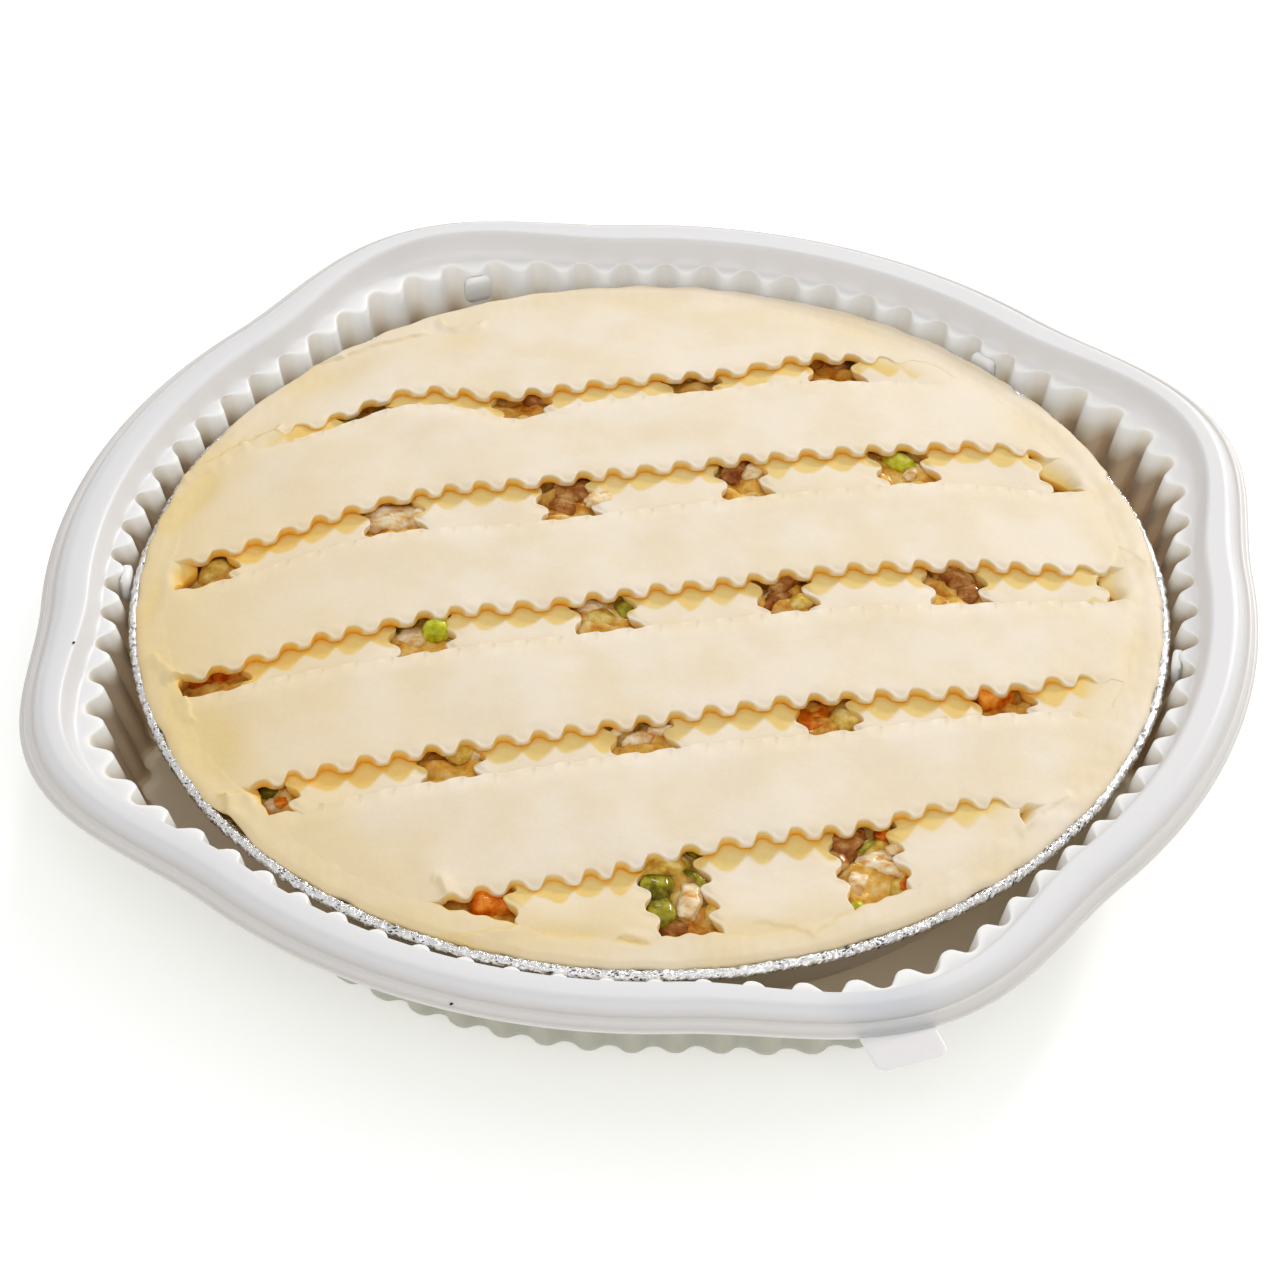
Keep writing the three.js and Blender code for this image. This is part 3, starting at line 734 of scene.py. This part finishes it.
def cutSide(edge, along, reach, sign, seed, press, size):
    # one cut edge as a band of points round its lip and down its wall. The teeth stand out by toothWave, fade
    # towards the border and stay within reach; size is the share of a full tooth
    c = crust
    across = swayed(edge, along)
    fade = 1 - smooth((np.hypot(along, across) - c["teethEnd"][0]) / c["teethEnd"][1])
    wave = toothWave(along, edge, seed) * fade
    across = np.clip(across + sign * c["tooth"] * size * wave, -reach, reach)
    slope = np.gradient(across, along)
    length = np.sqrt(1 + slope ** 2)
    tooth, fade = np.maximum(wave, 0)[:, None], fade[:, None]
    droop = (press[0] + press[1] * tooth) * fade
    arc = np.linspace(0, np.pi / 2, 5)
    wallRows, tuckRows = np.array(c["wallSteps"]), np.array(c["tuckSteps"])
    lip = np.hstack([c["lip"] * (1 - np.sin(arc)) + 0 * droop, 0 * droop * wallRows])
    tuck = np.hstack([0 * droop * arc, (press[2] * tooth - 0.35) * tuckRows])
    top = droop + c["lip"]
    sheet = c["sheet"] - (c["farThin"] * fade if sign > 0 else 0)
    down = np.hstack([droop + c["lip"] * (1 - np.cos(arc)), top + (sheet - top) * wallRows])
    # the wall gets painted glow that deepens to painted shade down to the crease; at a tooth it stays nearly as
    # pale as the top, painted light
    paintedGlow = past(c["wallTopGlow"], down - droop) + past(c["wallCreaseShade"], down - droop)
    paintedGlow = paintedGlow * (1 - 0.95 * smooth(1.6 * tooth) * (1 - smooth((down - 0.8 * c["sheet"]) / 0.5)))
    x = along[:, None] + (slope * sign / length)[:, None] * lip
    y = across[:, None] - (sign / length)[:, None] * lip - sign * tuck
    return x, y, down, droop, paintedGlow * fade


def stripSurface(low, high, topHeight, crosswise, seed):
    # u runs along the strip and v round its section: the top from the high edge to the low one, a rounded lip,
    # the cut wall down to the underside, straight back, and up the other wall. The top bends down to its
    # edges by a power of a hump, and every point is set on the dome by topHeight. A crosswise strip is a
    # lower one, which runs away from the tab, so its x and y change places
    c = crust
    along = np.arange(-c["limit"], c["limit"], c["alongStep"])
    reach = np.sqrt(c["limit"] ** 2 - along ** 2)
    inside = np.minimum(swayed(high, along), reach) - np.maximum(swayed(low, along), -reach) > 1.0
    along, reach = along[inside], reach[inside]
    lowX, lowY, lowD, lowDroop, lowWallShade = cutSide(low, along, reach, -1, seed, c["nearPress"], 1)
    kind = "side" if crosswise else "far"
    highX, highY, highD, highDroop, highWallShade = cutSide(high, along, reach, 1, seed + 7, c[kind + "Press"],
                                                      c[kind + "Tooth"])
    columns = c["sideColumns"] if crosswise else c["columns"]
    t = 0.5 - 0.5 * np.cos(np.linspace(0, np.pi, columns))[1:-1]
    topX, topY = highX[:, :1] * (1 - t) + lowX[:, :1] * t, highY[:, :1] * (1 - t) + lowY[:, :1] * t
    width = highY[:, :1] - lowY[:, :1]
    (near, nearPower), (far, farPower) = c["nearBend"], c["farBend"]
    topD = (lowDroop * hump(width * (1 - t) / near) ** nearPower
            + highDroop * hump(width * t / far) ** farPower)
    s = np.linspace(0, 1, 8)[1:-1]
    backX, backY = lowX[:, -1:] * (1 - s) + highX[:, -1:] * s, lowY[:, -1:] * (1 - s) + highY[:, -1:] * s
    x = np.hstack([topX, lowX, backX, highX[:, ::-1]])
    y = np.hstack([topY, lowY, backY, highY[:, ::-1]])
    down = np.hstack([topD, lowD, lowD[:, -1:] * (1 - s) + highD[:, -1:] * s, highD[:, ::-1]])
    # the underside gets 0.6, painted shade, and the walls their painted glow and shade
    shade = np.hstack([0 * topX, lowWallShade, 0 * backX + 0.6, highWallShade[:, ::-1] * (0.8 if crosswise else 0.25)])
    if crosswise:
        x, y = y, x
        shade = np.maximum(0.85 * shade, paintedShadowUnder(x, y))
    height, tint = topHeight(x, y), relief(x, y)[1]
    return surface(np.stack([x, y, height - down], -1), np.clip(shade + tint, 0, 1), wrapV=True, capU=True)


# the edges of the strips: place, slope, sways as place, push and half width, and where the teeth were
# matched, the place of a notch and the pitch. The upper strips come from the far side, each with its far
# edge first
topEdges = [
    (150, 0.1, []),
    (95.3, 0.19, [(-74, 9.5, 17), (52, 5, 17)], 31.2, 9.9),
    (87, 0.18, [(-74, 7, 16), (-90, 4.2, 34), (-40, -5, 10), (40, 2, 14)]),
    (49, 0.19, [(-62, 3, 16), (-132, -9, 26), (134, -9, 20)], 46.8, 9.72),
    (31, 0.2, [(-77, 5, 24), (128, -7, 24), (-135, -2, 20)]),
    (-6.3, 0.16, [(-128, -9, 20), (-92, -2.5, 20), (-25, -1.5, 20), (68, 1.5, 26), (128, -2, 20)], 59, 9.66),
    (-22, 0.16, [(-128, -1.5, 20), (42, 1, 30)]),
    (-61.5, 0.18, [(-72, 0.8, 20), (40, 1.5, 30), (125, 3, 14)], 7, 9.76),
    (-72.5, 0.2, [(-75, 1.5, 24), (50, -1.5, 20)]),
    (-114.5, 0.24, [(-50, 2, 20), (25, 2.5, 22), (85, 5, 18)], 39.9, 9.56),
]
# the lower strips from the left, each with its left edge first
underEdges = [
    (-119.5, -0.24, [(-36, -5, 22)]),
    (-78.5, -0.2, [(-122, -6, 16)]),
    (-62.3, -0.2, []),
    (-24.5, -0.22, [(88, -4, 24), (-122, -3, 20)]),
    (-8, -0.22, [(88, -5, 24), (-122, -2.5, 20)]),
    (31, -0.21, [(95, -6, 24), (-112, -2, 20)]),
    (45.5, -0.24, [(95, -2, 24), (-112, -2, 20)]),
    (82, -0.24, [(105, -8, 26)]),
    (98, -0.24, [(105, -9, 26), (-92, -6, 18)]),
    (134.5, -0.29, []),
]


def paintedShadowUnder(x, y):
    # painted shadow on the lower strips: 0.5 in rounded lobes in front of each upper strip, one for each notch,
    # where its edge casts its shadow, and painted crease shade near 1 right at its edge: a cosine without its
    # sign rounds the lobes and points the cusps between them
    c = crust
    shade = np.zeros_like(x)
    for i, edge in enumerate(topEdges[1::2]):
        lobe = np.abs(np.cos(np.pi * (toothShare(x, edge, 20 + i) - c["shadowShift"])))
        lobe = lobe * (1 + 0.25 * ripple(x, 0 * x, 12, 60 + i))
        ahead = swayed(edge, x) - c["shadowReach"] - c["shadowLobe"] * lobe - y
        shade = np.maximum(shade, 0.5 * (1 - smooth((ahead + 0.8) / 1.6)) * (ahead > -40))
        under = swayed(edge, x) - c["tooth"] * toothWave(x, edge, 20 + i) - y
        shade = shade + c["creaseShade"] * (1 - smooth((under + 0.2) / 1.8)) * (under > -25)
    return np.minimum(shade, 1) * (1 - smooth((np.hypot(x, y) - c["shadowEnd"][0]) / c["shadowEnd"][1]))


def topHeight(x, y):
    # the crown with its relief, feathering into the border at the pan's rim
    r = np.hypot(x, y)
    return crown(x, y) + relief(x, y)[0] + 0.3 * (1 - smooth((r - 134) / 10)) - 0.12


def underHeight(x, y):
    # the lower strips lie one sheet below the upper ones and meet them at the border
    r = np.hypot(x, y)
    return topHeight(x, y) - crust["drop"] * (1 - smooth((r - 114) / 26)) - 0.2


def borderSurface():
    # u runs round the pan and v round the section: up the inner cut, over the top and down the outside.
    # The top is the crown with its two edges rounded, and both edges wander by ripples
    b = border
    a = circle(b["columns"])
    inner = b["inner"] + 0.6 * ripple(a * 140, 0 * a, 23, 31) + 0.35 * ripple(a * 140, 0 * a, 6, 32)
    tongue = 0 * a
    for where, half, reach in b["tongues"]:
        tongue = tongue + reach * hump(((np.degrees(a) - where + 180) % 360 - 180) / (2 * half))
    inner = inner - tongue
    side = smooth((np.sin(a) + 0.98) / 0.5)       # on the pan's rim, except in front
    behind = smooth((np.sin(a) + 0.05) / 0.5)     # and right over it at the far side
    outer = crust["edgeRadius"] - 0.3 + 1.1 * side + 0.8 * behind + 0.3 * ripple(a * 148, 0 * a, 14, 33)
    for where, half, deep in b["nicks"]:
        outer = outer - deep * hump((np.degrees(a) - where) / (2 * half))
    v = np.linspace(0, 1, b["rows"])
    r = inner + (outer - inner) * v
    x, y = r * np.cos(a), r * np.sin(a)
    fall = np.clip((r - (outer - b["roundOuter"])) / b["roundOuter"], 0, 1)
    rise = np.clip(1 - (r - inner) / b["roundInner"], 0, 1)
    height, tint = relief(x, y)
    z = crown(x, y) + height + (0.2 * side + 0.3 * behind) * smooth((r - 143) / 4)
    z = z - (1.9 - 0.8 * side - 0.4 * behind) * (1 - np.sqrt(1 - fall ** 2))
    z = z - 0.4 * (1 - np.sqrt(1 - rise ** 2))
    sunk = smooth(tongue / 3) * (1 - smooth((r - inner) / (tongue + 2)))
    z = z + 0.05 * ripple(x, y, 5, 34) - b["sunk"] * sunk
    belowR = np.hstack([outer - 0.5 - 0.9 * side - 0.7 * behind, np.array(b["underRadii"]) + 0 * a, inner])
    belowZ = np.array(b["underHeights"]) + 0 * a
    # shade: the dough's tint, painted glow and shade at the inner cut edge, painted shade down the tongues, and
    # 0.8 of painted shade on the hidden underside
    shade = np.hstack([np.clip(tint + 0.4 * rise ** 8 + 0.5 * sunk, 0, 1), 0 * belowZ + 0.8])
    return surface(ringPoints(np.hstack([r, belowR]), a, np.hstack([z, belowZ])), shade, wrapU=True, wrapV=True)


addPiece("crustBorder", [borderSurface()], doughMaterial, ["crust_border"])
for side, low, high, height, crosswise, seed in [
        ("top", topEdges[1::2], topEdges[::2], topHeight, False, 20),
        ("under", underEdges[::2], underEdges[1::2], underHeight, True, 60)]:
    for i in range(5):
        strip = stripSurface(low[i], high[i], height, crosswise, seed + i)
        addPiece(f"{side}Strip{i + 1}", [strip], doughMaterial, [f"{side}_strip_{i + 1}"])
print("crust made")

filling = {
    "below": 3.5,          # gravy under the lower strips' tops
    "lumps": [(7.5, 0.85, 71), (3.2, 0.3, 72)],          # ripples of its top: size, height, seed
    "dip": (1.2, 128, 10),                               # by the pan's wall: depth, radius, width
    "columns": 420,
    "rows": 180,
    "reach": 139.2,
    "side": [(143.6, 32.0), (127.2, 1.7), (0, 1.7)],     # radius and height, down to the pan's floor
    # tone of the gravy near a place: x, y, reach, tone
    "tones": [(25, 56, 14, -0.10), (57, 114, 16, -0.18), (-35, 92, 12, -0.08), (40, 1, 12, -0.08),
              (90, 7, 14, -0.10), (48, -52, 12, -0.12), (98, -41, 12, -0.16), (-59, -65, 12, -0.14),
              (-48, -119, 12, -0.16), (8, -112, 12, 0.08), (9, -130, 9, -0.04), (66, -104, 14, 0.04),
              (-12, -10, 14, 0.10), (-77, 36, 12, 0.06), (-22, 43, 12, -0.12), (-124, -30, 16, -0.06),
              (-128, 18, 14, -0.02), (-103, -79, 10, 0.10), (0, -60, 12, 0.06)],
}


def gravyTop(x, y):
    # a few millimetres below the lower strips, with lumps, and lower still by the pan's wall
    z = crown(x, y) - crust["drop"] - filling["below"]
    for size, high, seed in filling["lumps"]:
        z = z + high * ripple(x, y, size, seed)
    return z - past(filling["dip"], np.hypot(x, y))


def gravySurface():
    # polar grid over the top of the gravy, then down the pan's inside to its floor
    f = filling
    a = circle(f["columns"])
    r = np.linspace(0, f["reach"], f["rows"])
    x, y = r * np.cos(a), r * np.sin(a)
    z = gravyTop(x, y)
    tone = 0 * x
    for tx, ty, reach, value in f["tones"]:
        tone = tone + value * hump(np.hypot(x - tx, y - ty) / reach)
    side = np.array(f["side"])
    rr = np.hstack([r + 0 * a, side[:, 0] + 0 * a])
    zz = np.hstack([np.where(r == 0, z[0, 0], z), side[:, 1] + 0 * a])
    tone = np.hstack([tone] + [0 * a] * len(side))
    return surface(ringPoints(rr, a, zz), tone, wrapU=True)


# cut pieces of each kind, in mm: x, y, length, width, thickness, turn, tip, height above the gravy
kinds = {
    "peas": {
        "flat": 1.0, "rough": 0.02, "bend": 0,
        "finish": ("cookedPea", "98980e", "c2c020", "e2de66", 3.5, 0.08),
        "bits": [
            (-61.5, -19, 8.6, 8.2, 7.8, 20, 0, 0.5), (75, 62.5, 12, 7, 5, -30, 6, 0.5),
            (57, -121.5, 6, 3.5, 2.6, 40, 10, 0.9), (71, -105, 5, 2, 1.6, 50, 10, 1.4),
            (-94.5, 83, 6, 5, 4, 0, 0, -0.4), (138.5, 14, 5, 3, 3, 60, 0, 0.6),
        ],
    },
    "carrots": {
        "flat": 0.5, "rough": 0.05, "bend": 0,
        "finish": ("cookedCarrot", "ae4202", "e07414", "f6a43a", 4, 0.12),
        "bits": [
            (-42.5, -122.5, 13, 9, 7, 15, 8, -0.4), (-52, -119, 10, 7, 5, -25, 10, -1.4),
            (66, -97.5, 7, 4, 3, 10, 10, 0.8), (72, -113, 7, 4, 4, 60, 0, 0.2),
            (98, -41, 12, 9, 7, 30, 12, -0.2), (-102.5, -83, 4, 3, 2, 10, 0, 0.3),
            (-121, -29, 11, 7, 5, 25, 8, -0.6), (-129, -32, 7, 5, 4, 0, 0, -0.6),
            (-71, 29.5, 7, 3, 4, 10, 0, -1.9), (-60, -63, 9, 7, 4, 40, 0, -1.4),
            (44, -52.5, 15, 11, 4, 10, 0, -0.9),
        ],
    },
    "celery": {
        "flat": 0.65, "rough": 0.04, "bend": 1.6,
        "finish": ("cookedCelery", "3a3307", "74680d", "b2a834", 6, 0.1),
        "bits": [
            (2.5, -118, 11, 9, 6, 70, 8, 0.1), (3.5, -126, 12, 8, 6, 100, 6, -0.5),
            (15, -105, 10, 6, 5, -30, 8, 0.4), (-98, -77, 9, 7, 5, -20, 8, 0.2),
            (-106, -76.5, 9, 7, 5, 10, 0, -0.8), (-69.5, -14, 9, 4, 4, 35, 8, -0.2),
            (-56.5, -9.5, 6, 4, 4, 40, 0, -0.4), (-7, -10, 9, 5, 4, -60, 8, -0.4),
            (3, -55.5, 10, 4, 4, 10, 8, 0.4), (62, -101, 10, 1.6, 1.2, 50, 12, 2.0),
            (14, -117, 11, 2.2, 1.4, -45, 12, 3.0),
        ],
    },
    "onions": {
        "flat": 0.75, "rough": 0.05, "bend": 2.2,
        "finish": ("softOnion", "b8862a", "deb84e", "f2dc90", 4, 0.1),
        "bits": [
            (5, -110, 15, 10, 5, 20, 8, 0.5), (18.5, -125.5, 8, 5, 4, 70, 0, 0.2),
            (73, -107.5, 11, 8, 5, 80, 6, 0.2), (70, -113.5, 8, 6, 4, 70, 8, 0.2),
            (63, -100.5, 12, 5, 4, 30, 8, 0.4), (56.5, -52, 12, 9, 4, 60, 10, 0.0),
            (-52, -66.5, 12, 8, 5, 60, 10, 0.4), (-114, -25.5, 9, 7, 5, 40, 0, 0.2),
            (-128, 15.5, 12, 6, 4, 30, 0, -0.2), (44.5, -5, 8, 6, 4, 40, 10, 0.2),
            (33, 52, 9, 6, 4, -30, 0, 0), (-14, -12, 12, 8, 5, 30, 6, -0.2),
        ],
    },
    "chicken": {
        "flat": 0.8, "rough": 0.09, "bend": 0.8,
        "finish": ("stewedChicken", "d89a50", "f0d4a0", "fdf0d4", 4, 0.15, (1, 1.8, 1)),
        "bits": [
            (-76, 34, 19, 11, 6, 12, 4, 0.1), (-69, 34, 8, 5, 4, 50, 0, 0),
            (-14, 38.5, 12, 6, 4, 20, 10, 0.6), (12, -121.5, 15, 7, 6, 85, 6, 0.3),
            (63, -105, 13, 6, 4, 30, 8, 0.8), (58, -112.5, 9, 6, 4, 70, 8, 0.8),
            (70, -102, 9, 4, 3, 20, 8, 1.0), (67, -109, 10, 4, 3, -20, 6, 0.9),
            (-68, -19.5, 11, 8, 5, 30, 8, -0.6), (-17, -8.5, 9, 5, 4, 20, 8, 0.3),
            (-2, -62.5, 12, 4, 3, 25, 10, 0.8), (4, -60.5, 10, 3, 3, 10, 8, 0.8),
            (-8, -61, 9, 3, 3, 50, 0, 0.8), (31, 54.5, 9, 6, 4, 60, 8, 0.1), (79, 58, 7, 4, 3, 40, 8, 0),
            (-105, -82, 8, 5, 4, 30, 0, 0.2), (-48, -69, 5, 3, 3, 0, 0, 0.6),
            (36, -1.5, 9, 4, 3, 40, 10, 0.5),
        ],
    },
    "darkMeat": {
        "flat": 0.8, "rough": 0.1, "bend": 1.0,
        "finish": ("stewedDarkMeat", "7e3c0c", "a86a30", "d0a060", 5, 0.1, (1, 1.6, 1)),
        "bits": [
            (55.5, -99.5, 14, 9, 6, 70, 6, 0.3), (52.5, -107, 9, 7, 5, 60, 6, 0.1),
            (-22.5, 44.5, 15, 9, 6, 20, 8, 0.1), (-26, 38, 9, 6, 4, -30, 6, -0.2),
            (25, 55.5, 13, 7, 5, 75, 8, 0.1), (40, 3, 14, 6, 5, 40, 10, 0.3),
            (37.5, -2.5, 12, 5, 4, 40, 10, 0), (89, 8.5, 14, 8, 6, -30, 8, 0.3),
            (94, 3, 10, 7, 5, 30, 8, 0.1), (-62, -64.5, 12, 8, 5, 30, 0, -0.4),
            (-125, 22.5, 12, 7, 5, 30, 0, -0.4), (70, 67, 9, 6, 4, 30, 0, -0.4),
            (-50, -116, 10, 5, 4, 0, 0, -0.8), (7, -131, 12, 6, 4, 0, 0, -0.8),
            (57, 114, 12, 7, 5, 0, 0, -0.8), (-35, 92.5, 13, 7, 5, 20, 0, -0.2),
        ],
    },
}


def morselSurface(bit, kind, seed):
    # a rounded pad swollen and dented by two ripples of its size, bent along its length, tipped, turned and
    # set with its middle on the gravy
    x, y, length, width, thick, angle, tipped, lift = bit
    p = roundedPad((length, width, thick), kind["flat"], 18)
    u, v, w = p[..., 0], p[..., 1], p[..., 2]
    size = max(width, 3)
    coarse = ripple(u + 1.7 * w, v - 0.8 * w, size * 0.9, seed)
    fine = ripple(u - w, v + w, size * 0.4, seed + 1)
    p = p * (1 + kind["rough"] * (coarse + 0.4 * fine))[..., None]
    p[:, 0], p[:, -1] = p[:1, 0], p[:1, -1]      # the poles stay single points
    p[..., 2] -= kind["bend"] * (2 * p[..., 0] / length) ** 2
    lean, z = turnBy(-tipped, p[..., 0], p[..., 2])
    top = float(gravyTop(np.array(x), np.array(y)))
    x, y = turnBy(angle, lean, p[..., 1], x, y)
    return surface(np.stack([x, y, z + lift + top], -1), wrapU=True)


addPiece("gravyBed", [gravySurface()], gravyMaterial, ["filling"])
for number, (name, kind) in enumerate(kinds.items()):
    bits = [morselSurface(bit, kind, 100 * number + 3 * k) for k, bit in enumerate(kind["bits"])]
    addPiece(name, bits, morsel(*kind["finish"]), ["filling"])
print("filling made")

studio = {
    "floor": "fefefe",
    "floorHalf": 6,
    "floorDrop": 0.0002,
    "floorGlow": 0.32,     # the board is lit from below a little, which lifts its shadows
    # azimuth in degrees from +X towards +Y, elevation, distance, size, power, colour
    "key": (54, 24.5, 4.0, 0.5, 68, (1, 0.98, 0.95)),     # behind and to the right
    "fill": (275, 42, 1.8, 1.2, 5.5, (1, 0.99, 0.97)),    # in front
    "glint": (88, 46, 3.0, 0.35, 8, (1, 1, 1)),           # behind, for the wet shine of the filling
    "sky": 0.65,
}


def areaLight(name, azimuth, elevation, distance, size, power, colour):
    a, e = math.radians(azimuth), math.radians(elevation)
    data = bpy.data.lights.new(name, "AREA")
    data.shape, data.size, data.energy, data.color = "DISK", size, power, colour
    obj = bpy.data.objects.new(name, data)
    place = Vector((math.cos(a) * math.cos(e), math.sin(a) * math.cos(e), math.sin(e))) * distance
    obj.location = place
    obj.rotation_euler = place.to_track_quat("Z", "Y").to_euler()
    scene.collection.objects.link(obj)


half = studio["floorHalf"]
floorMesh = bpy.data.meshes.new("floor")
floorMesh.from_pydata([(-half, -half, 0), (half, -half, 0), (half, half, 0), (-half, half, 0)], [],
                      [(0, 1, 2, 3)])
floor = bpy.data.objects.new("floor", floorMesh)
floor.location = (0, 0, -studio["floorDrop"])
scene.collection.objects.link(floor)
board, tree, shader = newMaterial("paleBoard")[:3]
connect(tree, shader, Base_Color=srgb(studio["floor"]), Roughness=0.8, Emission_Color=(1, 1, 1, 1),
        Emission_Strength=studio["floorGlow"])
floorMesh.materials.append(board)

for lamp in ("key", "fill", "glint"):
    areaLight(lamp, *studio[lamp])
world = bpy.data.worlds.new("studio")
world.use_nodes = True
connect(world.node_tree, world.node_tree.nodes["Background"], Color=(1, 1, 1, 1), Strength=studio["sky"])
scene.world = world
scene.view_settings.view_transform = "Standard"
print("studio lit")
